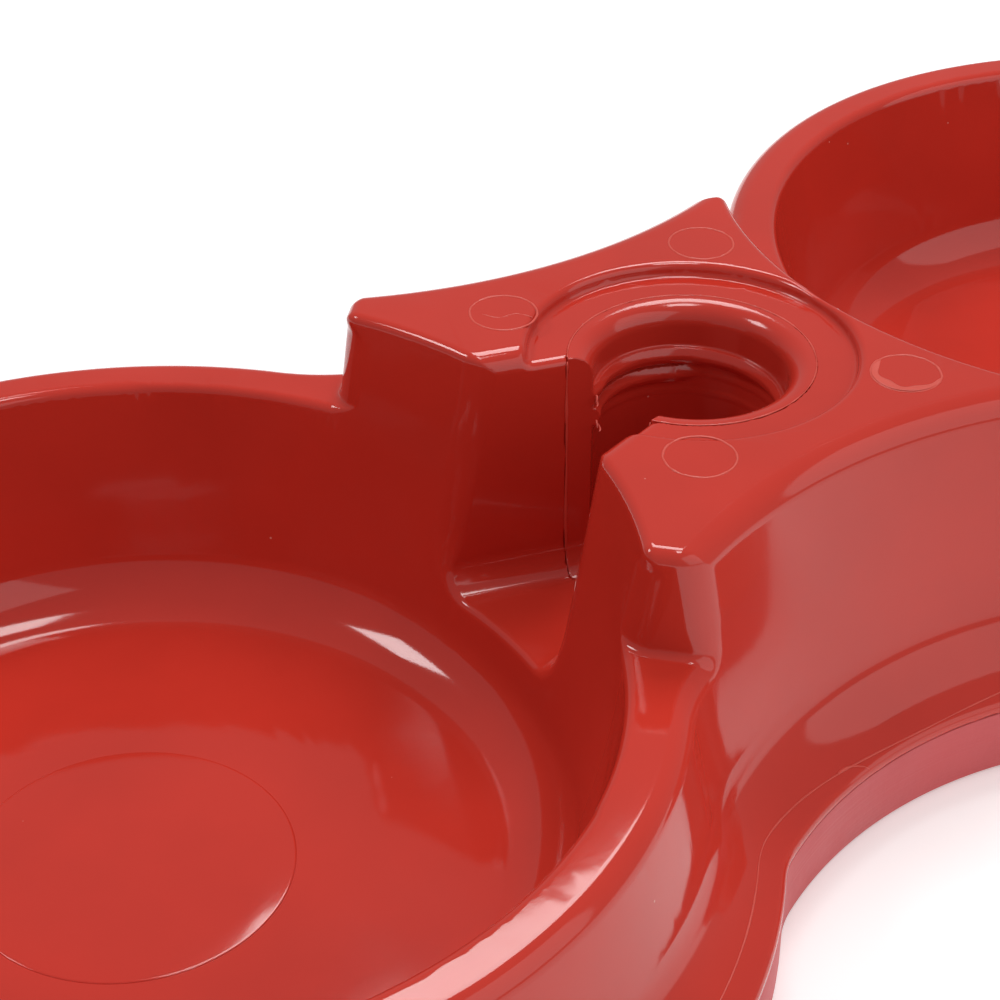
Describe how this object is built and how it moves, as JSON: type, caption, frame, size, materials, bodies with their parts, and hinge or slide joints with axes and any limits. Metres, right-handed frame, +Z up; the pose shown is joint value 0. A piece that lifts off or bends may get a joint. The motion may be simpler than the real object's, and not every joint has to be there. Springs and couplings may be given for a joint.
{
  "type": "poultry waterer fount",
  "caption": "Double-bowl drinker base for a screw-in bottle: two round bowls joined by a raised hub with a threaded socket and a water slot, on a matte foot ring.",
  "frame": {"origin": "middle of the base on the ground plane, halfway between the bowls", "axes": "+X from the water bowl towards the feed bowl, +Y across the base, +Z up"},
  "size_m": [0.3736, 0.1754, 0.052],
  "materials": {
    "glossy_red": "high-gloss injection moulding",
    "socket_red": "glossy moulding with fine flash",
    "matte_red": "fine matte texture"
  },
  "bodies": {
    "root": {"tray": "glossy_red", "threaded_collar": "socket_red", "foot_ring": "matte_red"}
  },
  "joints": []
}
